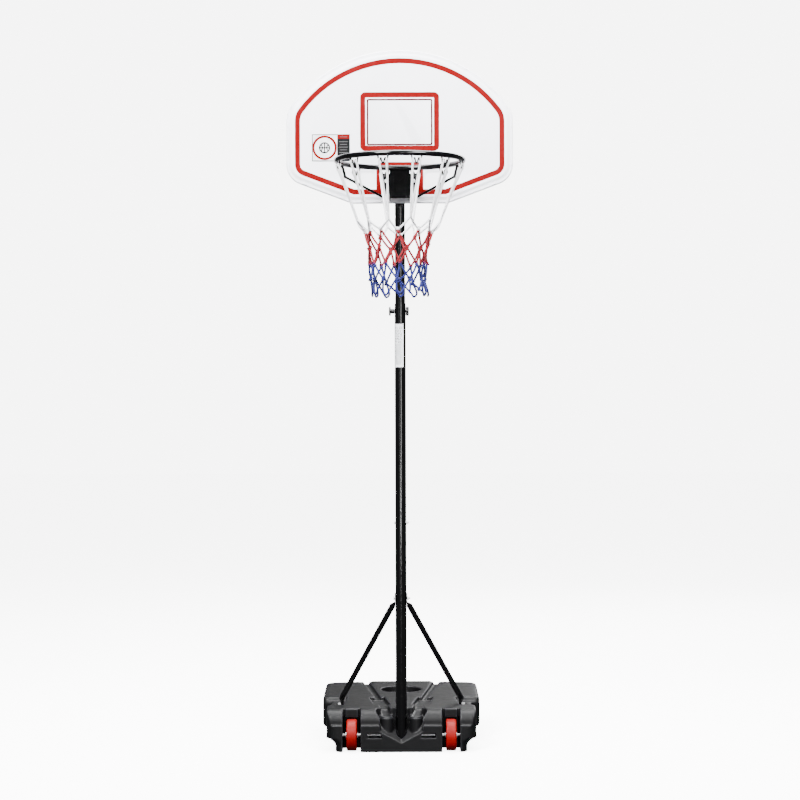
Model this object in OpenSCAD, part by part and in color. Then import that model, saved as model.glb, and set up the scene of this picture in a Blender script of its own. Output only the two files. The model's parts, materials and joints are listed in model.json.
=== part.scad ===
// Portable basketball hoop: wheeled ballast tank, three-section pole, moulded fan-shaped backboard,
// welded rim with wire hooks, and a knotted net.
// Front is -Y, up is +Z, and the pole's axis meets the floor at the origin.

/* [Heights] */
// Height of the rim's plane above the floor
rim_z = 1826; // [1800:1:1860]
// Top of the backboard above the floor
board_top = 2207; // [2180:1:2240]
// Top of the middle pole, where the upper pole slides in
collar_z = 1414; // [1400:1:1418]
// Height of the height-lock bolt
lock_z = 1390; // [1385:1:1394]
// Spacing of the height stations in the upper pole
station_pitch = 50; // [40:5:50]
// Number of steps that the upper pole can come down
station_steps = 6; // [3:1:6]

/* [Poles and stays] */
// Outside diameter of the lower and middle poles
pole_d = 35; // [34.6:0.2:36]
// Wall of every pole section
pole_wall = 1.2; // [1:0.1:1.2]
// Outside diameter of the upper pole
upper_d = 32; // [31:0.2:32]
// Height of the joint between the lower and middle poles
joint_z = 750; // [740:1:770]
// Height of the bolt that holds the tops of the stays
stay_top_z = 483; // [470:1:500]
// Outside diameter of a stay
stay_d = 18; // [16:1:19]

/* [Tank] */
// Height of the tank's highest plateau
tank_h = 148; // [142:1:150]
// Half of the tank's width at its rear lobes
rear_half = 257; // [250:1:262]
// Half of the tank's width at its front block
front_half = 237; // [230:1:240]
// Rear edge of the tank
tank_rear = 572; // [540:1:590]
// Front face of the tank
tank_front = -31; // [-34:1:-29]
// Wall of the blow-moulded tank
tank_wall = 4; // [3:0.5:5]

/* [Wheels] */
// Wheel diameter
wheel_d = 99; // [94:1:99]
// Wheel width
wheel_w = 32; // [28:1:34]
// Distance from the middle to the centre of a wheel
wheel_x = 157; // [150:1:165]
// Axle diameter
axle_d = 8; // [8:1:8]

/* [Backboard] */
// Width of the backboard
board_w = 710; // [690:1:720]
// Height of the backboard
board_h = 481; // [475:1:490]
// Front face of the board's panel
board_y = -70; // [-72:1:-70]
// Depth of the board from its raised face to its rear edge
board_depth = 20.5; // [19:0.5:22]

/* [Rim and net] */
// Radius of the rim's centreline
rim_r = 190; // [185:0.5:192]
// Diameter of the rim's bar
rim_bar = 16; // [14:1:16]
// Gap from the panel's face to the rim's centreline at the back
rim_standoff = 85; // [80:1:90]
// Height of the net's lowest edge
net_bottom = 1415; // [1400:1:1425]

/* [Hidden] */
$fn = 48;

pole_r = pole_d / 2;
upper_r = upper_d / 2;
bore_r = pole_r - pole_wall;
m6 = 6;
m6_hole = 6.6;
m6_across = 10;
pole_foot_z = 40;
pole_plug_h = 4;
joint_bolt_z = joint_z - 28;
upper_foot_z = lock_z - 110;
upper_top_z = 2060;
lock_d = 8;
lock_hole = 9;
lock_gap = 0.3;
run_gap = 0.08;
wheel_z = wheel_d / 2 + 1;
axle_y = 0;
axle_half = 226;
well_half = 28;
well_back = 53;
well_ceiling = 104;
well_notch_y = 12;
rim_y = board_y - rim_standoff - rim_r;
board_bottom = board_top - board_h;
board_back = board_y + board_depth;
board_half = board_w / 2;
bolt_x = 42;
bolt_zs = [1747, 1795];
bracket_bolt_zs = [1757, 1793];
stay_foot = [199, 137, 126];
stay_hole = 22;
hook_angles = [15:30:165];
cap_at = [0, 400, 121];
water_level = 88;
bolt_rim_low = 1732;

// ---- outline helpers ----

function unit(v) = v / norm(v);

// Points of the arc that rounds the corner p1 between p0 and p2.
function fillet(p0, p1, p2, r, n) =
    let (
        a = unit(p0 - p1),
        b = unit(p2 - p1),
        half = acos(a * b) / 2,
        c = p1 + unit(a + b) * (r / sin(half)),
        t0 = p1 + a * (r / tan(half)) - c,
        t2 = p1 + b * (r / tan(half)) - c,
        start = atan2(t0.y, t0.x),
        sweep = (atan2(t2.y, t2.x) - start + 900) % 360 - 180
    )
    [for (i = [0:n]) c + r * [cos(start + sweep * i / n), sin(start + sweep * i / n)]];

// A closed outline with each corner rounded to its own radius.
function rounded(pts, radii, n = 5) =
    let (k = len(pts))
    [for (i = [0:k - 1]) each radii[i] < 0.01
        ? [pts[i]]
        : fillet(pts[(i + k - 1) % k], pts[i], pts[(i + 1) % k], radii[i], n)];

function mirrored(right) = concat(right, [for (i = [len(right) - 1:-1:0]) [-right[i].x, right[i].y]]);

function box_outline(x0, y0, x1, y1, r, n = 5) =
    rounded([[x0, y0], [x1, y0], [x1, y1], [x0, y1]], [r, r, r, r], n);

// ---- solid helpers ----

module slab(outline, z0, z1) {
    translate([0, 0, z0]) linear_extrude(z1 - z0) polygon(outline);
}

// A sheet lying against the board: outline in X and Z, between two depths in Y.
module panel(outline, y0, y1) {
    translate([0, y1, 0]) rotate([90, 0, 0]) linear_extrude(y1 - y0) polygon(outline);
}

module tube(r, wall, z0, z1) {
    translate([0, 0, z0]) difference() {
        cylinder(r = r, h = z1 - z0);
        translate([0, 0, -1]) cylinder(r = r - wall, h = z1 - z0 + 2);
    }
}

// A cylinder along X from x0 to x1.
module rod_x(d, x0, x1, y = 0, z = 0) {
    translate([x0, y, z]) rotate([0, 90, 0]) cylinder(d = d, h = x1 - x0);
}

// A cylinder along Y from y0 to y1.
module rod_y(d, y0, y1, x = 0, z = 0) {
    translate([x, y1, z]) rotate([90, 0, 0]) cylinder(d = d, h = y1 - y0);
}

module rod_between(p, q, r) {
    v = q - p;
    translate(p)
        rotate([0, acos(v.z / norm(v)), atan2(v.y, v.x)])
        cylinder(r = r, h = norm(v));
}

module hex_x(across, x0, x1, z) {
    translate([x0, 0, z]) rotate([0, 90, 0]) cylinder(r = across / 2 / cos(30), h = x1 - x0, $fn = 6);
}

module hex_y(across, y0, y1, x, z) {
    translate([x, y1, z]) rotate([90, 0, 0]) cylinder(r = across / 2 / cos(30), h = y1 - y0, $fn = 6);
}

module both_sides() {
    children();
    mirror([1, 0, 0]) children();
}

// ---- tank ----

tray_half = 208;
tray_z = 42;
ledge_z = 84;
block_rear = 92;
lobe_front = 236;
ledge_depth = 6;
block_top = 132;
waist_top = 124;
lobe_top = 145;
column_r = 21;
column_top = 106;
lip_r = 17.5;
lip_top = 111;
pocket_r = 14.5;
channel_half = 9.5;
pocket_length = 118;
step_heights = [0, 24, 30, 36, tray_z];
step_insets = [0, 3, 8, 16];
step_corner = 26;
waist_in = 8;
lobe_in = 29;
lobe_back_in = 24;
block_corner = 30;
lobe_corner = 42;
shoulder_r = 40;
corner_r = 18;
waist_corner = 12;
neck_run = 22;
above = 20;
past = 5;
cut_half = 300;
groove_front = [46, -1];
groove_rear = [120, tank_rear];

function tank_plan(front, waist, rear, y0, y1, r) = mirrored(rounded(
    [[0, y0], [front, y0], [front, block_rear], [waist, block_rear + neck_run], [waist, lobe_front - neck_run],
     [rear, lobe_front], [rear, y1], [0, y1]],
    [0, r, corner_r, waist_corner, waist_corner, corner_r, r + waist_corner, 0]));

// What lies above the roof: a ledge over a proud lower tier, a large round shoulder, and a roof that
// rises to the rear.
module roof_cut() {
    face_y = tank_front + ledge_depth;
    profile = concat(
        [[tank_front - past, ledge_z], [face_y, ledge_z]],
        [for (a = [180:-9:90]) [face_y, block_top] + shoulder_r * [1 + cos(a), sin(a) - 1]],
        [[tank_rear + past, tank_h], [tank_rear + past, tank_h + above], [tank_front - past, tank_h + above]]);
    translate([-cut_half, 0, 0]) rotate([90, 0, 90]) linear_extrude(2 * cut_half) polygon(profile);
}

// The side plateau between the groove and the stay, and the wedge between the two grooves.
side_plateau = [[80, 34], [185, 34], [184, 132], [158, tank_rear - 22], [144, tank_rear]];
inner_wedge = [[104, tank_rear], [24, 26]];

plateau_corners = [4, 10, 14, 14, 8];
wedge_corners = [4, 10, 10, 4];
plateau_root = waist_top - 10;

module plateaus() {
    both_sides() slab(rounded(side_plateau, plateau_corners), plateau_root, tank_h);
    slab(rounded(mirrored([inner_wedge[1], inner_wedge[0]]), wedge_corners), plateau_root, tank_h);
}

// One tier of the stepped foot.
module tank_step(out, z0, z1) {
    slab(tank_plan(tray_half + out, tray_half - waist_in + out, rear_half - lobe_in + out,
        tank_front, tank_rear - lobe_back_in + out, step_corner), z0, z1);
}

module tank_body() {
    difference() {
        union() {
            for (i = [0:len(step_insets) - 1])
                tank_step(step_insets[i], step_heights[i], step_heights[i + 1]);
            slab(tank_plan(front_half, front_half - waist_in - 1, rear_half,
                tank_front, tank_rear, block_corner), tray_z, waist_top);
            slab(mirrored(rounded([[0, tank_front], [front_half, tank_front], [front_half, block_rear],
                [0, block_rear]], [0, block_corner, corner_r, 0])), waist_top - 1, tank_h);
            slab(mirrored(rounded([[0, lobe_front], [rear_half, lobe_front], [rear_half, tank_rear],
                [0, tank_rear]], [0, corner_r, lobe_corner, 0])), waist_top - 1, lobe_top);
            plateaus();
        }
        roof_cut();
    }
}

// The height of a groove's floor, from the pocket at its front to the tank's rear edge.
groove_floor = [
    [-40, 101], [70, 117], [73, 121], [pocket_length, 123], [pocket_length + 2, 124], [tank_rear + above, 137]];
groove_low = 90;
seam = 0.3;

// One groove: a round-ended pocket at the front, whose floor falls forward, and a narrower channel
// to the rear edge.
module groove_strip(from, to, half, z) {
    along = unit(groove_rear - groove_front);
    side = [along.y, -along.x] * half;
    p = groove_front + along * from;
    q = groove_front + along * to;
    slab([p + side, q + side, q - side, p - side], z, tank_h + above);
}

module groove_cut() {
    length = norm(groove_rear - groove_front) + above;
    profile = concat(groove_floor, [[tank_rear + above, tank_h + above], [groove_floor[0].x, tank_h + above]]);
    intersection() {
        union() {
            translate([groove_front.x, groove_front.y, groove_low]) cylinder(r = pocket_r, h = tank_h);
            groove_strip(0, pocket_length, pocket_r - seam, groove_low);
            groove_strip(pocket_length - 1, length, channel_half, groove_low);
        }
        rotate([90, 0, 90]) linear_extrude(rear_half) polygon(profile);
    }
}

// The dish sunk round the front end of a groove, and the half-round column with its lip that stands in it.
dish_radii = [25, 37];
dish_z = 88;
dish_h = 50;
column_foot = 30;
lip_foot = 80;
lip_length = 40;
lip_clip = [140, 140, 80];

module groove_dish() {
    translate([groove_front.x, groove_front.y, dish_z])
        cylinder(r1 = dish_radii[0], r2 = dish_radii[1], h = dish_h);
}

module groove_column() {
    translate([groove_front.x, groove_front.y, column_foot])
        cylinder(r = column_r, h = column_top - column_foot);
    translate([groove_front.x, groove_front.y, lip_foot]) cylinder(r = lip_r, h = lip_top - lip_foot);
    difference() {
        groove_strip(0, lip_length, lip_r - seam, lip_foot);
        translate([0, -lip_clip.y / 2, lip_top]) cube(lip_clip);
    }
}

// The open alcove round the pole: above a V-shaped floor that falls forward and towards the middle.
alcove_half = 68;
alcove_y = [-40, 17];
alcove_low = 59.6;
alcove_fall = 1.003;
alcove_vee = 0.536;

module alcove_cut() {
    x = alcove_half;
    top = tank_h + above;
    ring = function (y) let (low = alcove_low + alcove_fall * y, side = low + alcove_vee * x)
        [[-x, y, side], [0, y, low], [x, y, side], [x, y, top], [-x, y, top]];
    walls = [for (i = [0:4]) [i, (i + 1) % 5, (i + 1) % 5 + 5, i + 5]];
    polyhedron(concat(ring(alcove_y[0]), ring(alcove_y[1])), concat([[4, 3, 2, 1, 0], [5, 6, 7, 8, 9]], walls));
}

well_flank = 8;
flank_depth = 6;

module wheel_well_cut() {
    well_w = 2 * well_half;
    from = tank_front - past;
    translate([wheel_x - well_half, from, -past]) {
        cube([well_w, well_back - from, well_ceiling + past]);
        cube([well_w, well_notch_y - from, tank_h + above]);
        for (x = [0, well_w - well_flank])
            translate([x, 0, 0]) cube([well_flank, well_notch_y + flank_depth - from, tank_h + above]);
    }
}

window_x = 62;
window = [46, 35, 13];

module window_cut() {
    translate([window_x, tank_front - past, wheel_z - window.z / 2])
        cube([window.x, window.y + past, window.z]);
}

// The space inside the walls, in overlapping boxes that keep clear of the wells, the alcove and the axle.
cavity_front = 60;
cavity_roof = 101;
cavity_lap = 1;
inner_corner = 8;
low_rear_corner = 34;
high_rear_corner = 36;
lobe_start = lobe_front + 12;
nose = [190, -23];
nose_z = 64;
nose_corner = 28;
edge_r = 2;
plateau_hollow = [
    [88, cavity_front], [174, cavity_front], [174, 140], [152, tank_rear - 30], [148, tank_rear - 12]];
lobe_hollow = [194, 180];
lobe_hollow_rear = tank_rear - 46;
lobe_hollow_top = 133;
wedge_hollow = [[30, 90], [84, tank_rear - 10]];
wedge_hollow_top = 115;

module tank_cavity() {
    w = tank_wall;
    rear_y = tank_rear - lobe_back_in - w;
    low_x = tray_half - waist_in - w;
    high_x = front_half - waist_in - past - w;
    nose_x = front_half - w;
    lobe_x = rear_half - w;
    low = mirrored(rounded([[0, cavity_front], [low_x, cavity_front], [low_x, lobe_front],
        [lobe_x - lobe_in, lobe_start], [lobe_x - lobe_in, rear_y], [0, rear_y]],
        [0, inner_corner, inner_corner, inner_corner, low_rear_corner, 0]));
    high = mirrored(rounded([[0, cavity_front], [high_x, cavity_front], [high_x, lobe_front],
        [lobe_x, lobe_start], [lobe_x, tank_rear - w], [0, tank_rear - w]],
        [0, inner_corner, inner_corner, inner_corner, high_rear_corner, 0]));
    slab(low, w, tray_z + w + cavity_lap);
    slab(high, tray_z + w, cavity_roof);
    both_sides() {
        slab(rounded([nose, [nose_x, nose.y], [nose_x, cavity_front + edge_r], [nose.x, cavity_front + edge_r]],
            [edge_r, nose_corner, edge_r, edge_r]), nose_z, ledge_z - w);
        slab(rounded(plateau_hollow, [edge_r, edge_r, edge_r, edge_r, edge_r]),
            cavity_roof - cavity_lap, block_top - 2 * w);
        slab([[lobe_hollow[0], lobe_start], [lobe_x, lobe_start], [lobe_x, lobe_hollow_rear],
            [lobe_hollow[1], lobe_hollow_rear]], cavity_roof - cavity_lap, lobe_hollow_top);
    }
    slab(mirrored(wedge_hollow), cavity_roof - cavity_lap, wedge_hollow_top);
}

cap_dish_r = 67;
neck_r = 13.2;
neck_foot = 90;
axle_gap = 0.4;
plug_d = 13.6;
plug_seat = 12;
cup_gap = 0.4;
column_block = [90, 80, 80];
column_block_at = [0, -30, 45];

module base_tank() color([0.06, 0.06, 0.07]) {
    difference() {
        union() {
            difference() {
                tank_body();
                both_sides() wheel_well_cut();
                both_sides() groove_dish();
                alcove_cut();
            }
            both_sides() intersection() {
                groove_column();
                translate(column_block_at) cube(column_block);
            }
        }
        both_sides() groove_cut();
        both_sides() window_cut();
        tank_cavity();
        rod_x(axle_d + axle_gap, -front_half - 1, front_half + 1, axle_y, wheel_z);
        both_sides() rod_x(plug_d + axle_gap, front_half - plug_seat, front_half + 1, axle_y, wheel_z);
        translate([0, 0, pole_foot_z - pole_plug_h]) cylinder(r = pole_r + cup_gap, h = tank_h);
        translate(cap_at) cylinder(r = cap_dish_r, h = tank_h);
        translate([cap_at.x, cap_at.y, neck_foot]) cylinder(r = neck_r, h = tank_h);
        both_sides() translate(stay_foot - [0, 0, stay_hole]) cylinder(d = m6 + axle_gap, h = tank_h);
    }
}

// The water that the tank is filled with, up to a level under its roof.
module water_ballast() color([0.55, 0.70, 0.80]) {
    intersection() {
        tank_cavity();
        translate([-cut_half, -cut_half, tank_wall])
            cube([2 * cut_half, cut_half + tank_rear, water_level - tank_wall]);
    }
}

cap_r = 17;
cap_h = 4;
stem_r = [10, 12.6];
stem_h = 14;
grip = [28, 6, 6];
seal_h = 1.7;
seal_r = [12.9, 16];

module fill_cap() color([0.05, 0.05, 0.06]) {
    translate(cap_at) {
        translate([0, 0, 2]) cylinder(r = cap_r, h = cap_h);
        translate([0, 0, -stem_h]) difference() {
            cylinder(r = stem_r[1], h = stem_h + 3);
            translate([0, 0, -1]) cylinder(r = stem_r[0], h = stem_h);
        }
        translate([-grip.x / 2, -grip.y / 2, cap_h + 2]) cube(grip);
    }
}

module cap_seal() color([0.02, 0.02, 0.02]) {
    translate(cap_at) difference() {
        cylinder(r = seal_r[1], h = seal_h);
        translate([0, 0, -1]) cylinder(r = seal_r[0], h = seal_h + 2);
    }
}

// ---- wheels ----

module axle() color([0.75, 0.76, 0.78]) {
    rod_x(axle_d, -axle_half, axle_half, axle_y, wheel_z);
}

plug_bore = 10;

module axle_plugs() color([0.06, 0.06, 0.07]) {
    both_sides() difference() {
        rod_x(plug_d, front_half - plug_seat + 0.3, front_half + 0.5, axle_y, wheel_z);
        rod_x(plug_bore, front_half - plug_seat - 1, front_half - 3, axle_y, wheel_z);
    }
}

washer_d = 17;
washer_half = 0.8;
washer_off = wheel_w / 2 + 2.4;

module wheel_washers() color([0.75, 0.76, 0.78]) {
    for (side = [-1, 1], end = [-1, 1]) {
        x = side * wheel_x + end * washer_off;
        difference() {
            rod_x(washer_d, x - washer_half, x + washer_half, axle_y, wheel_z);
            rod_x(axle_d + axle_gap, x - 2 * washer_half, x + 2 * washer_half, axle_y, wheel_z);
        }
    }
}

module wheel(x) color([0.86, 0.10, 0.07]) {
    r = wheel_d / 2;
    half = wheel_w / 2;
    translate([x, axle_y, wheel_z]) rotate([0, 90, 0]) {
        rotate_extrude($fn = 96) polygon([
            [axle_d / 2 + run_gap, -half], [11, -half], [12, -half + 1], [13, -3], [r - 6, -3], [r - 5, -half + 1],
            [r - 3, -half], [r - 1, -half + 2], [r, -half + 5],
            [r, half - 5], [r - 1, half - 2], [r - 3, half], [r - 5, half - 1], [r - 6, 3], [13, 3], [12, half - 1],
            [11, half], [axle_d / 2 + run_gap, half]]);
        for (a = [0:60:300]) rotate([0, 0, a]) translate([11, -1.5, -half + 4]) cube([r - 16, 3, wheel_w - 8]);
    }
}

module wheel_left() wheel(-wheel_x);
module wheel_right() wheel(wheel_x);

// ---- pole ----

module lower_pole() color([0.03, 0.03, 0.035]) {
    difference() {
        tube(pole_r, pole_wall, pole_foot_z, joint_z);
        rod_x(axle_d + 0.4, -40, 40, axle_y, wheel_z);
        rod_x(m6_hole, -40, 40, 0, joint_bolt_z);
        rod_x(m6_hole, -40, 40, 0, stay_top_z);
    }
}

module lower_pole_plug() color([0.06, 0.06, 0.07]) {
    difference() {
        union() {
            translate([0, 0, pole_foot_z - 4]) cylinder(r = pole_r, h = 4);
            translate([0, 0, pole_foot_z - 1]) cylinder(r = bore_r - 0.05, h = 25);
        }
        translate([0, 0, pole_foot_z + 2]) cylinder(r = bore_r - 3, h = 24);
        rod_x(axle_d + 0.4, -40, 40, axle_y, wheel_z);
    }
}

module middle_pole() color([0.03, 0.03, 0.035]) {
    swage_r = bore_r - 0.1;
    difference() {
        rotate_extrude($fn = 96) polygon([
            [swage_r - pole_wall, joint_z - 70], [swage_r, joint_z - 70], [swage_r, joint_z], [pole_r, joint_z],
            [pole_r, collar_z], [bore_r, collar_z], [bore_r, joint_z + 12], [swage_r - pole_wall, joint_z + 4]]);
        rod_x(m6_hole, -40, 40, 0, joint_bolt_z);
        rod_x(lock_hole, -40, 40, 0, lock_z);
    }
}

module upper_pole() color([0.03, 0.03, 0.035]) {
    difference() {
        tube(upper_r, pole_wall, upper_foot_z, upper_top_z);
        for (k = [0:station_steps]) rod_x(lock_hole, -40, 40, 0, lock_z + k * station_pitch);
        for (z = bracket_bolt_zs) rod_x(m6_hole, -40, 40, 0, z);
    }
}

module upper_pole_cap() color([0.06, 0.06, 0.07]) {
    translate([0, 0, upper_top_z]) cylinder(r = upper_r, h = 4);
    translate([0, 0, upper_top_z - 18]) difference() {
        cylinder(r = upper_r - pole_wall - 0.05, h = 18);
        translate([0, 0, -1]) cylinder(r = upper_r - pole_wall - 2.5, h = 16);
    }
}

// A hexagon-headed bolt across the pole with its head on the left.
module cross_bolt(z, reach) {
    hex_x(m6_across, -reach - 4, -reach, z);
    rod_x(m6, -reach, reach + 9, 0, z);
}

module cross_nut(z, reach) {
    difference() {
        hex_x(m6_across, reach, reach + 5, z);
        rod_x(m6 + 0.1, reach - 1, reach + 6, 0, z);
    }
}

module pole_joint_bolt() color([0.75, 0.76, 0.78]) cross_bolt(joint_bolt_z, pole_r);
module pole_joint_nut() color([0.75, 0.76, 0.78]) cross_nut(joint_bolt_z, pole_r);

module lock_bolt() color([0.05, 0.05, 0.06]) {
    grip = pole_r + lock_gap;
    rod_x(lock_d, -grip - 15, grip, 0, lock_z);
    rod_x(24, grip, grip + 10, 0, lock_z);
    for (a = [0:45:315])
        translate([0, 12 * sin(a), lock_z + 12 * cos(a)]) rod_x(5, grip + 1, grip + 9);
}

module lock_knob() color([0.05, 0.05, 0.06]) {
    grip = pole_r + lock_gap;
    difference() {
        union() {
            rod_x(15, -grip - 12, -grip, 0, lock_z);
            rod_x(24, -grip - 18, -grip - 12, 0, lock_z);
            for (a = [0:45:315])
                translate([0, 12 * sin(a), lock_z + 12 * cos(a)]) rod_x(5, -grip - 17, -grip - 12.5);
        }
        rod_x(lock_d + 2 * run_gap, -grip - 16, -grip + 1, 0, lock_z);
    }
}

label_z = 1213;
label_turn = [165, 140];
label_size = [0.25, 136];

module pole_label() color([0.85, 0.85, 0.85]) {
    translate([0, 0, label_z]) rotate([0, 0, label_turn[0]]) rotate_extrude(angle = label_turn[1], $fn = 96)
        translate([pole_r, 0]) square(label_size);
}

// ---- stays ----

stay_wall = 1.2;
ear_t = 2.6;
ear = [22, 28];
ear_clip = 2;
stay_top = [pole_r + 9, 4, stay_top_z - 24];
stay_end = stay_foot + [-6, -4, 22];
foot_plate = 26;
foot_tab = [6, 20, 2.2];
blend = 0.3;
stay_facets = 32;

// A tube with a flattened ear on the pole's side at its top, and a flat foot under a bolt at its bottom.
module stay(side) color([0.03, 0.03, 0.035]) {
    along = unit(stay_end - stay_top);
    ear_x = pole_r + 0.1;
    corner = stay_foot - [foot_plate / 2, foot_plate / 2, 0];
    mirror([side < 0 ? 1 : 0, 0, 0]) {
        difference() {
            rod_between(stay_top, stay_end, stay_d / 2);
            rod_between(stay_top - along, stay_end + along, stay_d / 2 - stay_wall);
        }
        difference() {
            hull() {
                translate([ear_x, -ear.x / 2, stay_top_z - ear.y / 2]) cube([ear_t, ear.x, ear.y]);
                translate([ear_x, -ear.x / 2 + ear_clip, stay_top_z - ear.y / 2 - ear_clip])
                    cube([ear_t, ear.x - 2 * ear_clip, ear.y + 2 * ear_clip]);
            }
            rod_x(m6_hole, 0, 2 * pole_d, 0, stay_top_z);
        }
        hull() {
            translate([ear_x, -ear.x / 2, stay_top_z - ear.y / 2]) cube([ear_t, ear.x, 1]);
            rod_between(stay_top, stay_top + along, stay_d / 2 + blend, $fn = stay_facets);
        }
        difference() {
            translate(corner) cube([foot_plate, foot_plate, ear_t]);
            translate(stay_foot - [0, 0, 1]) cylinder(d = m6_hole, h = m6);
        }
        difference() {
            hull() {
                translate(corner + [0, 0, ear_t - foot_tab.z]) cube(foot_tab);
                rod_between(stay_end - along, stay_end, stay_d / 2 + blend, $fn = stay_facets);
            }
            translate(stay_foot + [0, 0, ear_t]) cylinder(d = m6_across + 3, h = m6 + 2);
            translate(stay_foot - [0, 0, 1]) cylinder(d = m6_hole, h = m6);
        }
    }
}

module stay_left() stay(-1);
module stay_right() stay(1);
module stay_top_bolt() color([0.75, 0.76, 0.78]) cross_bolt(stay_top_z, pole_r + ear_t + fit_gap);
module stay_top_nut() color([0.75, 0.76, 0.78]) cross_nut(stay_top_z, pole_r + ear_t + fit_gap);

module stay_foot_bolts() color([0.75, 0.76, 0.78]) {
    both_sides() translate(stay_foot + [0, 0, ear_t + 0.1]) {
        cylinder(r = m6_across / 2 / cos(30), h = 4, $fn = 6);
        translate([0, 0, -stay_hole]) cylinder(d = m6, h = stay_hole);
    }
}

// ---- backboard ----

arc_r = 420;
upper_corner = 92;
lower_corner = 64;
slope = 20.7;
foot_half = 150;

// Right half of the board's outline, brought in by d on every side, from the bottom up to the top's middle.
function board_right(d) =
    let (
        half = board_half - d,
        low = board_bottom + d,
        r = arc_r - d,
        c = board_top - arc_r,
        x0 = foot_half - d * tan(slope / 2),
        corner = [half, low + (half - x0) * tan(slope)],
        rf = upper_corner - d,
        fc = [half - rf, c + sqrt(pow(r - rf, 2) - pow(half - rf, 2))],
        a0 = atan2(fc.y - c, fc.x)
    )
    concat(
        [[x0, low]],
        fillet([x0, low], corner, [half, corner.y + 200], max(lower_corner - d, 4), 8),
        [for (i = [0:6]) fc + rf * [cos(a0 * i / 6), sin(a0 * i / 6)]],
        [for (i = [1:11]) [r * cos(a0 + (90 - a0) * i / 12), c + r * sin(a0 + (90 - a0) * i / 12)]]);

function board_outline(d) = concat(
    board_right(d),
    [[0, board_top - d]],
    [for (p = [for (i = [len(board_right(d)) - 1:-1:0]) board_right(d)[i]]) [-p.x, p.y]]);

rib_depth = 13;
skin = 4;
skirt = 3;
flange_w = 14;
flange_in = 5;
pad_low = [-62, bolt_rim_low, 62, 1820];
pad_high = [-48, 2002, 48, 2038];
pad_r = 6;
recess = [74, 1772, 134, 1828];
recess_r = 9;
rib_pitch = 60;
rib_half = 1.2;
screw_x = 34;
screw_z = 2020;
screw_d = 4;
screw_in = 10;
cut = 10;

module board_ribs() {
    intersection() {
        union() {
            panel(board_outline(flange_w + 1), board_y + skin - 1, board_y + skin + rib_depth);
            panel(board_outline(skirt - 1), board_y + flange_in + skirt - 1, board_y + skin + rib_depth);
        }
        union() {
            for (x = [-5 * rib_pitch:rib_pitch:5 * rib_pitch])
                translate([x - rib_half, board_y, board_bottom]) cube([2 * rib_half, rib_pitch, board_h]);
            for (z = [board_bottom + rib_pitch:rib_pitch:board_top - rib_pitch])
                translate([-board_half, board_y, z - rib_half]) cube([board_w, rib_pitch, 2 * rib_half]);
        }
    }
}

// A ring that follows the board's outline between two insets, and between two depths behind the raised face.
module board_ring(outer, inner, from, to) {
    difference() {
        panel(board_outline(outer), board_y + from, board_y + to);
        panel(board_outline(inner), board_y + from - 1, board_y + to + 1);
    }
}

module backboard() color([0.93, 0.93, 0.95]) {
    difference() {
        union() {
            panel(board_outline(flange_w), board_y, board_y + skin);
            board_ring(0, skirt, flange_in, board_depth);
            board_ring(0, flange_w + skirt, flange_in, flange_in + skirt);
            board_ring(flange_w, flange_w + skirt, 0, flange_in + skirt);
            board_ribs();
            for (p = [pad_low, pad_high])
                panel(box_outline(p[0], p[1], p[2], p[3], pad_r), board_y + skin - 1, board_back);
        }
        for (x = [-bolt_x, bolt_x], z = bolt_zs) rod_y(m6_hole, board_y - cut, board_back + cut, x, z);
        for (x = [-screw_x, screw_x]) rod_y(screw_d, board_back - screw_in - 2, board_back + 1, x, screw_z);
        both_sides() panel(box_outline(recess[0], recess[1], recess[2], recess[3], recess_r), board_y - 1, board_y + 2);
    }
}

// Red band inside the edge, with a notch round the rim's bracket.
band_in = 26.8;
band_w = 16;
notch = [57.5, 1838];
notch_r = 6;

module band_region(d, grow) {
    difference() {
        polygon(board_outline(d));
        polygon(box_outline(-notch.x - grow, board_bottom - notch.x, notch.x + grow, notch.y + grow, notch_r + grow));
    }
}

module decal(thickness = 0.4) {
    translate([0, board_y, 0]) rotate([90, 0, 0]) linear_extrude(thickness) children();
}

module border_stripe() color([0.80, 0.10, 0.11]) decal() difference() {
    band_region(band_in, 0);
    band_region(band_in + band_w, band_w);
}

module frame_2d(print) {
    x = print[0];
    z0 = print[1];
    z1 = print[2];
    w = print[3];
    r = print[4];
    difference() {
        polygon(box_outline(-x, z0, x, z1, r));
        polygon(box_outline(-x + w, z0 + w, x - w, z1 - w, max(r - w, 2)));
    }
}

// Each print: half width, bottom, top, line width and corner radius.
wide_frame = [124, 1889, 2073.5, 16.5, 16];
thin_frame = [103, 1906.5, 2052.5, 5, 5];
sticker = [-275, 1857, -156, 1942];

module target_frame() color([0.80, 0.10, 0.11]) decal() frame_2d(wide_frame);
module target_line() color([0.35, 0.05, 0.08]) decal() frame_2d(thin_frame);

module board_sticker() color([0.95, 0.95, 0.95]) decal()
    polygon(box_outline(sticker[0], sticker[1], sticker[2], sticker[3], 1));

// ---- board mounting ----

plate_t = 2.5;
plate = [-60, bolt_rim_low + 2, 60, 1816];
cheek_z = [1740, 1810];
cheek_rear = 12;
fit_gap = 0.2;

module pole_bracket() color([0.03, 0.03, 0.035]) {
    plate_y = board_back + plate_t;
    difference() {
        union() {
            panel(box_outline(plate[0], plate[1], plate[2], plate[3], 2 * plate_t), board_back, plate_y);
            both_sides() translate([upper_r + fit_gap, plate_y, cheek_z[0]])
                cube([plate_t, cheek_rear - plate_y, cheek_z[1] - cheek_z[0]]);
        }
        for (x = [-bolt_x, bolt_x], z = bolt_zs) rod_y(m6_hole, board_back - 1, plate_y + 1, x, z);
        for (z = bracket_bolt_zs) rod_x(m6_hole, -40, 40, 0, z);
    }
}

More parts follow.
